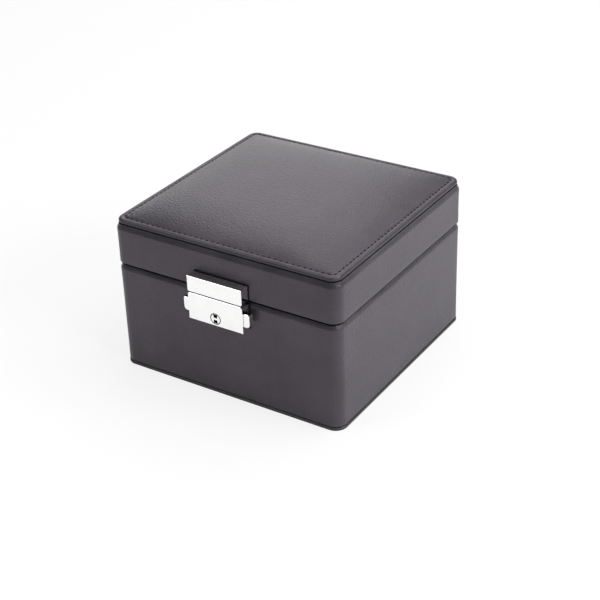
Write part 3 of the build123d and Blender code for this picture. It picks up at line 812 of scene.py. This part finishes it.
def mound(x, y, power):
    """A flat-topped mound, 1 in the middle and 0 along the line of stitches."""
    across = abs(x) / (box_width / 2 - stitch_inset)
    along = abs(y) / (box_depth / 2 - stitch_inset)
    return max(0, 1 - across**power) * max(0, 1 - along**power)


def pad_height(inset, x, y):
    """Height of the swelling inside the crease."""
    crease = crease_depth * (1 - ease((inset - stitch_inset) / crease_width))
    swelling = roll_height * mound(x, y, roll_power) + crown_height * mound(x, y, crown_power)
    return border_height - crease + swelling


def ring_insets(half):
    """Insets of the grid's lines from the edge to the middle, with the border's points first."""
    insets = [inset for inset, _ in border_section()]
    inset = stitch_inset
    for gap in crease_gaps:
        inset += gap
        insets.append(inset)
    insets.append(arc_inset)
    return insets + steps(arc_inset, half, int((half - arc_inset) / grid_pitch))[1:]


# %% Padded top: the sheet
def padded_top():
    """The leather of the padded top as one open sheet, on z = 0."""
    section = border_section()
    lines = [ring_insets(box_width / 2), ring_insets(box_depth / 2)]
    across = [2 * (len(line) - 1) for line in lines]
    corner_lines = lines[0].index(arc_inset)
    bm = bmesh.new()
    bmesh.ops.create_grid(bm, x_segments=across[0], y_segments=across[1], size=1)
    bm.verts.ensure_lookup_table()
    for index, vert in enumerate(list(bm.verts)):
        row, column = divmod(index, across[0] + 1)
        near = [min(column, across[0] - column), min(row, across[1] - row)]
        sides = [1 if column > across[0] / 2 else -1, 1 if row > across[1] / 2 else -1]
        insets = [lines[0][near[0]], lines[1][near[1]]]
        ring = min(near)
        ring_inset = lines[0][ring] if near[0] <= near[1] else lines[1][ring]
        if max(near) < corner_lines:
            along = (max(near) - ring) / (corner_lines - ring)
            turn = math.pi / 4 * (1 - along)
            radius = arc_inset - ring_inset
            far, close = radius * math.cos(turn), radius * math.sin(turn)
            reach = (far, close) if near[0] <= near[1] else (close, far)
            insets = [arc_inset - reach[0], arc_inset - reach[1]]
        x = sides[0] * (box_width / 2 - insets[0])
        y = sides[1] * (box_depth / 2 - insets[1])
        z = section[ring][1] if ring < len(section) else pad_height(ring_inset, x, y)
        vert.co = (x, y, z)
    return bm


pad = padded_top()
bmesh.ops.recalc_face_normals(pad, faces=pad.faces)
if sum(f.normal.z for f in pad.faces) < 0:
    bmesh.ops.reverse_faces(pad, faces=pad.faces)
bmesh.ops.solidify(pad, geom=pad.faces[:], thickness=cover_thickness)
bmesh.ops.translate(pad, vec=(0, 0, pad_low.z), verts=pad.verts)
covered = ["top_pad_leather", "top_pad_foam"]
top_cover = finish_piece("stitched_top_cover", pad, box_leather, "lid", covered, sharp_angle=60)

# %% [markdown]
# ## Painted shade card under the padded top
#
# The pad is made up by itself and glued on the lid, with a card between them. The card is in the
# near-black painted shade colour, set back a little from the pad's foot, and fills the seam, so
# that it paints the seam's shade as a dark line.

# %% Painted shade card under the padded top
seam_setback = 0.15
seam_inset = pad_inset + seam_setback
seam_overlap = 0.15
seam_sink = 0.05
seam_half = Vector((box_width / 2 - seam_inset, box_depth / 2 - seam_inset, 0))
seam_low, seam_high = pad_low.z - seam_sink, pad_low.z + foot_gap + seam_overlap
seam_shade_card = block((-seam_half.x, -seam_half.y, seam_low), (seam_half.x, seam_half.y, seam_high))
bevel_edges(seam_shade_card, upright_edges(seam_shade_card), arc_inset - seam_inset, corner_segments)
# The card is painted shade: it darkens the seam under the pad.
finish_piece("top_pad_seam_shade", seam_shade_card, painted_shade_black, "lid")

# %% [markdown]
# ## Stitches
#
# Each stitch is a short, fat piece of thread that dips into the leather at both ends. A stretched
# ball of few faces is enough, because there are more than a hundred, and they are joined into one
# piece. They follow the crease round the border at an even pitch. Between two stitches the thread
# goes through the leather, and the shade in the hole it pulls open is the dark dash that shows from
# far away. That shade is painted: a flat ball in the painted shade black lies on each hole.

# %% Stitches: their sizes and their path
stitch_pitch = 3.5
stitch_length = 2.2
thread_radius = 0.22
thread_rise = 0.242
hole_shade_length = 2.0
hole_shade_width = 1.35
hole_shade_rise = 0.2


def border_path(inset):
    """Length of the rounded rectangle at an inset, and a function from distance to place and turn."""
    radius = arc_inset - inset
    half_x, half_y = box_width / 2 - arc_inset, box_depth / 2 - arc_inset
    quarter = radius * math.pi / 2
    sides = [2 * half_x, 2 * half_y] * 2
    centres = [(half_x, -half_y), (half_x, half_y), (-half_x, half_y), (-half_x, -half_y)]
    runs = [(sides[i], Vector(centres[i]), i * math.pi / 2) for i in range(4)]
    total = sum(sides) + 4 * quarter

    def at(distance):
        for side, centre, turn in runs:
            if distance <= side:
                along = Vector((math.cos(turn), math.sin(turn)))
                out = Vector((along.y, -along.x))
                return centre + out * radius - along * (side - distance), turn
            distance -= side
            if distance <= quarter:
                turned = turn + distance / radius
                return centre + Vector((math.sin(turned), -math.cos(turned))) * radius, turned
            distance -= quarter
        return at(0)

    return total, at


# %% Stitches and the painted shade of the needle holes
path_length, path_at = border_path(stitch_inset)
stitch_count = round(path_length / stitch_pitch)
crease_z = pad_low.z + border_height - crease_depth


def on_crease(share, *half_sizes):
    """Matrix that stretches a ball of radius 1 and lays it on the crease at a share of its length."""
    place, turn = path_at(share * path_length / stitch_count)
    lying = Matrix.Translation((*place, crease_z)) @ Matrix.Rotation(turn, 4, "Z")
    return lying @ Matrix.Diagonal((*half_sizes, 1))


stitches = bmesh.new()
hole_shades = bmesh.new()
thread_end_first = Matrix.Rotation(math.pi / 2, 4, "Y")
for number in range(stitch_count):
    matrix = on_crease(number + 0.5, stitch_length / 2, thread_radius, thread_rise) @ thread_end_first
    bmesh.ops.create_uvsphere(stitches, u_segments=6, v_segments=5, radius=1, matrix=matrix)
    matrix = on_crease(number, hole_shade_length / 2, hole_shade_width / 2, hole_shade_rise)
    bmesh.ops.create_uvsphere(hole_shades, u_segments=8, v_segments=6, radius=1, matrix=matrix)
print(stitch_count, "stitches")
finish_piece("top_stitching", stitches, thread, "lid", sharp_angle=80)
# The flat dark balls on the needle holes are painted shade.
finish_piece("needle_hole_shade", hole_shades, painted_shade_black, "lid", sharp_angle=80)

# %% [markdown]
# ## Stuffed pieces inside
#
# The pillows and the two bolsters are suede covers filled with wadding. A real one is cut a little
# small and swells as it is stuffed, so its faces bow out, its edges round off and small folds stay
# at the corners. A short cloth simulation does the same: it starts from the plain solid, drawn in
# by a millimetre or two, and blows it up with a little pressure and no gravity. What comes out is
# fitted back to the room that the piece has, and one subdivision smooths it.

# %% Stuffing by cloth simulation
stuffed_voxel = 4.5
stuffing_pressure = 4.0
stuffing_frames = 20


def mesh_now(piece):
    """The piece's mesh with its modifiers applied, as a new mesh."""
    seen = piece.evaluated_get(bpy.context.evaluated_depsgraph_get())
    return bpy.data.meshes.new_from_object(seen)


def apply_all(piece):
    """Make the modifiers' result the piece's own mesh."""
    mesh = mesh_now(piece)
    piece.modifiers.clear()
    piece.data = mesh


def swell(piece, most):
    """Blow the piece up as cloth for a few frames; no point moves further than most."""
    scene = bpy.context.scene
    start = [v.co.copy() for v in piece.data.vertices]
    cloth = piece.modifiers.new("cloth", "CLOTH")
    cloth.settings.use_pressure = True
    cloth.settings.uniform_pressure_force = stuffing_pressure
    cloth.settings.effector_weights.gravity = 0
    cloth.point_cache.frame_start = 1
    cloth.point_cache.frame_end = stuffing_frames
    for number in range(1, stuffing_frames + 1):
        scene.frame_set(number)
    swollen = mesh_now(piece)
    scene.frame_set(1)
    piece.modifiers.clear()
    for vert, place in zip(swollen.vertices, start):
        move = vert.co - place
        if move.length > most:
            vert.co = place + move.normalized() * most
    piece.data = swollen


# %% A stuffed piece in place of a solid
def stuffed(name, node, body, smaller, most):
    """A suede piece that starts smaller than its solid and swells by at most so many millimetres."""
    low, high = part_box(node)
    middle = (low + high) / 2
    shape = bmesh.new()
    shape.from_mesh(frame["nodes"][node].data)
    for vert in shape.verts:
        for axis in range(3):
            share = 1 - 2 * smaller * mm / (high[axis] - low[axis])
            vert.co[axis] = middle[axis] + (vert.co[axis] - middle[axis]) * share
    mesh = bpy.data.meshes.new(name)
    shape.to_mesh(mesh)
    shape.free()
    piece = add_object(name, mesh)
    remesh = piece.modifiers.new("remesh", "REMESH")
    remesh.mode = "VOXEL"
    remesh.voxel_size = stuffed_voxel * mm
    apply_all(piece)
    swell(piece, most * mm)
    points = [v.co for v in piece.data.vertices]
    now_low = [min(p[axis] for p in points) for axis in range(3)]
    now_high = [max(p[axis] for p in points) for axis in range(3)]
    for point in points:
        for axis in range(3):
            share = (point[axis] - now_low[axis]) / (now_high[axis] - now_low[axis])
            point[axis] = low[axis] + share * (high[axis] - low[axis])
    smooth = piece.modifiers.new("smooth", "SUBSURF")
    smooth.levels = smooth.render_levels = 1
    apply_all(piece)
    piece.data.materials.clear()
    piece.data.materials.append(suede)
    piece.data.shade_smooth()
    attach(piece, body)
    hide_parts(node)
    print(name, len(piece.data.polygons), "faces")
    return piece


# %% Pillows and bolsters
pillows = {}
for side in ("left", "right"):
    cover, node, body = f"{side}_pillow_cover", f"{side}_watch_pillow", f"{side}_pillow"
    pillows[side] = stuffed(cover, node, body, smaller=1.5, most=6.0)
for end in ("front", "back"):
    stuffed(f"{end}_bolster_cover", f"{end}_bolster", "base", smaller=1.0, most=3.0)

# %% [markdown]
# ## Piping on the pillows
#
# The band that goes round a pillow is sewn to two end panels, and the seam is covered with piping,
# a cord in a strip of suede. Its path is where an upright plane cuts the stuffed shape, so it lies
# on the suede wherever that bulges.

# %% Piping along a cut through a piece
piping_radius = 0.7
piping_inset = 5.0
piping_points = 90
piping_sides = 6


def cut_path(piece, x, count):
    """Evenly spaced points where the plane at x cuts the piece, in millimetres."""
    bm = bmesh.new()
    bm.from_mesh(piece.data)
    geom = [*bm.verts, *bm.edges, *bm.faces]
    cut = bmesh.ops.bisect_plane(bm, geom=geom, plane_co=(x * mm, 0, 0), plane_no=(1, 0, 0))["geom_cut"]
    points = [v.co / mm for v in cut if isinstance(v, bmesh.types.BMVert)]
    bm.free()
    middle = sum(points, Vector()) / len(points)
    points.sort(key=lambda p: math.atan2(p.z - middle.z, p.y - middle.y))
    lengths = [(points[i] - points[i - 1]).length for i in range(len(points))]
    total, path, walked, number = sum(lengths), [], 0.0, 0
    for step in range(count):
        while walked + lengths[number] < total * step / count:
            walked += lengths[number]
            number += 1
        share = (total * step / count - walked) / max(lengths[number], 1e-6)
        path.append(points[number - 1].lerp(points[number], share))
    return path


def closed_tube(bm, path, radius):
    """A round tube along a closed path that lies in an upright plane across x."""
    rings = []
    for number, point in enumerate(path):
        along = (path[(number + 1) % len(path)] - path[number - 1]).normalized()
        out = along.cross(Vector((1, 0, 0)))
        ring = []
        for angle in steps(0, 2 * math.pi, piping_sides)[:-1]:
            way = Vector((1, 0, 0)) * math.cos(angle) + out * math.sin(angle)
            ring.append(bm.verts.new(point + way * radius))
        rings.append(ring)
    for number, ring in enumerate(rings):
        before = rings[number - 1]
        for side in range(piping_sides):
            bm.faces.new((before[side - 1], before[side], ring[side], ring[side - 1]))


for side, pillow in pillows.items():
    low, high = span(f"{side}_watch_pillow")
    piping = bmesh.new()
    for x in (low.x + piping_inset, high.x - piping_inset):
        closed_tube(piping, cut_path(pillow, x, piping_points), piping_radius)
    bmesh.ops.recalc_face_normals(piping, faces=piping.faces)
    finish_piece(f"{side}_pillow_piping", piping, suede, f"{side}_pillow", sharp_angle=80)

# %% [markdown]
# ## Lining
#
# The lining cards and the divider are stiff card in thin suede, so they keep flat faces, but the
# suede rounds their free edges. The pads on the floor and in the lid are thin wadding under suede:
# flat where they are glued down and softly crowned where they show.

# %% Lining cards and divider
card_thickness = 1.5
card_round = 0.45
card_cuts = 12
divider_round = 2.0


def card_ring(node, name, body, open_edge):
    """Four cards round the inside of a case, with their free edges rounded."""
    low, high = span(node)
    bm = block(low, high)
    ends = [face_towards(bm, (0, 0, 1)), face_towards(bm, (0, 0, -1))]
    bmesh.ops.delete(bm, geom=ends, context="FACES_ONLY")
    slice_block(bm, 0, steps(low.x, high.x, card_cuts)[1:-1])
    thicken(bm, card_thickness)
    edge_z = high.z if open_edge == "high" else low.z
    bevel_edges(bm, [e for e in level_edges(bm, edge_z) if e.calc_face_angle(0) > 1], card_round, 3)
    finish_piece(name, bm, suede, body, [node])


card_ring("base_lining_cards", "base_lining", "base", "high")
card_ring("lid_lining_cards", "lid_lining", "lid", "low")

low, high = span("well_divider")
divider = block(low, high)
top_edges = [e for e in divider.edges if e.verts[0].co.z + e.verts[1].co.z > 2 * high.z - 1]
bevel_edges(divider, top_edges, divider_round, 5)
finish_piece("divider_cover", divider, suede, "base", ["well_divider"])

# %% Thin pads
pad_edge_radius = 3.0
pad_cut_margin = 6.0
pad_cuts = 18
edge_drop = 0.55
glue_line = 0.12
uneven_height = 0.12
uneven_width = 16.0


def thin_pad(node, name, body, facing, edge, power):
    """A flat-backed pad whose free face is crowned; facing is 1 up or -1 down."""
    low, high = span(node)
    bm = block(low, high)
    bevel_edges(bm, upright_edges(bm), pad_edge_radius, 5)
    rows = (0.2 * edge, 0.5 * edge, edge)
    for axis in (0, 1):
        first, last = low[axis], high[axis]
        near_ends = [first + r for r in rows] + [last - r for r in rows]
        between_ends = steps(first + pad_cut_margin, last - pad_cut_margin, pad_cuts)
        slice_block(bm, axis, near_ends + between_ends)
    middle, half = (low + high) / 2, (high - low) / 2
    free_z = high.z if facing > 0 else low.z
    for vert in bm.verts:
        if abs(vert.co.z - free_z) > 1e-4:
            continue
        across = min(1, abs(vert.co.x - middle.x) / half.x)
        along = min(1, abs(vert.co.y - middle.y) / half.y)
        crown = (max(0, 1 - across**power) * max(0, 1 - along**power)) ** 0.5
        uneven = uneven_height * noise.noise(vert.co / uneven_width) * crown
        vert.co.z -= facing * (2 * half.z * edge_drop * (1 - crown) - uneven + glue_line)
    finish_piece(name, bm, suede, body, [node], sharp_angle=50)


thin_pad("base_floor_pad", "floor_padding", "base", 1, 2.0, 18)
thin_pad("lid_lining_pad", "lid_padding", "lid", -1, 6.0, 8)

# %% [markdown]
# ## Finishes for the pieces that keep their CAD shape
#
# Boards, cards, hinges and lock parts are right as they are, so each only gets its material.

# %% Finishes for the other nodes
finish_of_slot = {
    "leather": foot_cloth,
    "board": fibreboard,
    "foam": foam,
    "suede": suede,
    "chrome": chrome,
    "steel": steel,
}
for subpart in frame["record"]["subparts"]:
    node = frame["nodes"][subpart["node"]]
    material = finish_of_slot[subpart["material_slot"]]
    node.data.materials.clear()
    node.data.materials.append(material)

# %% [markdown]
# ## Button springs
#
# Each spring is a folded strip between its button and the middle of the lock. On the real lock it
# shortens by the button's stroke, so that its fixed end stays where it is; here a copy of it only
# travels with the button.

# %% Springs that travel with their buttons
for side, name in ((-1, "left_button"), (1, "right_button")):
    node = f"{name}_spring"
    low, high = span(node)
    strip = add_object(f"{name}_strip", frame["nodes"][node].data.copy())
    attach(strip, name)
    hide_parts(node)
    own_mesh(strip)

# %% [markdown]
# ## Gaskets under the lock
#
# Each half of the lock sits on a thin card that keeps its metal off the leather. The card is in the
# near-black painted shade colour, so the rim of it that shows paints the shade round the chrome, as
# a fine dark line.

# %% Lock gaskets
gasket_thickness = 0.45
gasket_reach = 0.3
gasket_corner = 0.8
for name, node, body in (("lock_gasket", "lock_case", "base"), ("hasp_gasket", "hasp_case", "lid")):
    low, high = span(node)
    reach = Vector((gasket_reach, 0, gasket_reach))
    card = block(Vector((low.x, high.y - gasket_thickness, low.z)) - reach, high + reach)
    corners = [e for e in card.edges if abs(e.verts[0].co.y - e.verts[1].co.y) > 0.1]
    bevel_edges(card, corners, gasket_corner, 3)
    # The gasket's near-black rim is painted shade round the chrome.
    finish_piece(name, card, painted_shade_black, body)

# %% [markdown]
# ## Key barrel
#
# A tubular key goes into two openings, above and below a bridge, in the face of the barrel. They
# are deep and narrow, so no light comes back out of them. The chrome round them would mirror the
# white floor instead, so the barrel is made again: a face with two real openings, and a groove
# between the face and the case. Every face behind the front face is in the painted shade black,
# which paints the shade in the openings and the groove.

# %% Key barrel: its sizes and outlines
barrel_low, barrel_high = span("key_plug")
barrel_radius = (barrel_high.x - barrel_low.x) / 2
barrel_centre = Vector((0, barrel_low.y, (barrel_low.z + barrel_high.z) / 2))
face_radius = 2.78
face_points = 40
groove_depth = 0.6
opening_width = 2.7
opening_inner_width = 0.75 * opening_width
upper_opening = (0.55, 2.55)
lower_opening = (-2.5, -0.6)
opening_depth = 2.5


def flat_ring(bm, points):
    """Edges through points of a flat outline, given as (x, z) from the barrel's centre."""
    verts = [bm.verts.new(barrel_centre + Vector((x, 0, z))) for x, z in points]
    return [bm.edges.new((verts[i - 1], verts[i])) for i in range(len(verts))]


def circle(radius, count):
    """Points of a circle."""
    return [(radius * math.cos(a), radius * math.sin(a)) for a in steps(0, 2 * math.pi, count)[:-1]]


def opening(low, high):
    """Points of a four-sided opening, wider at its outer end."""
    outer, inner = opening_width / 2, opening_inner_width / 2
    low_half, high_half = (inner, outer) if high > 0 else (outer, inner)
    return [(-low_half, low), (low_half, low), (high_half, high), (-high_half, high)]


def draw_in(bm, edges, distance, shrink=1.0):
    """Carry edges straight into the barrel: returns the new edges."""
    made = bmesh.ops.extrude_edge_only(bm, edges=edges)["geom"]
    for vert in {g for g in made if isinstance(g, bmesh.types.BMVert)}:
        offset = (vert.co - barrel_centre) * shrink
        vert.co = Vector((barrel_centre.x + offset.x, vert.co.y + distance, barrel_centre.z + offset.z))
    new_edges = [g for g in made if isinstance(g, bmesh.types.BMEdge)]
    return [e for e in new_edges if len(e.link_faces) == 1]


# %% Key barrel: the shape
barrel = bmesh.new()
face_edge = flat_ring(barrel, circle(face_radius, face_points))
openings = []
for opening_span in (upper_opening, lower_opening):
    openings += flat_ring(barrel, opening(*opening_span))
bmesh.ops.triangle_fill(barrel, edges=face_edge + openings, use_beauty=True, normal=(0, -1, 0))
floors = draw_in(barrel, openings, opening_depth)
bmesh.ops.holes_fill(barrel, edges=floors, sides=4)
groove_wall = draw_in(barrel, face_edge, groove_depth)
groove_floor = draw_in(barrel, groove_wall, 0, barrel_radius / face_radius)
back_edge = draw_in(barrel, groove_floor, barrel_high.y - barrel_low.y - groove_depth)
bmesh.ops.holes_fill(barrel, edges=back_edge, sides=60)
bmesh.ops.recalc_face_normals(barrel, faces=barrel.faces)
# Faces behind the front face get the painted shade black: painted shade in the openings and the groove.
for face in barrel.faces:
    face.material_index = 0 if face.calc_center_median().y < barrel_low.y + 1e-4 else 1
piece = finish_piece("key_barrel_face", barrel, chrome, "key_barrel", ["key_plug"])
piece.data.materials.append(painted_shade_black)
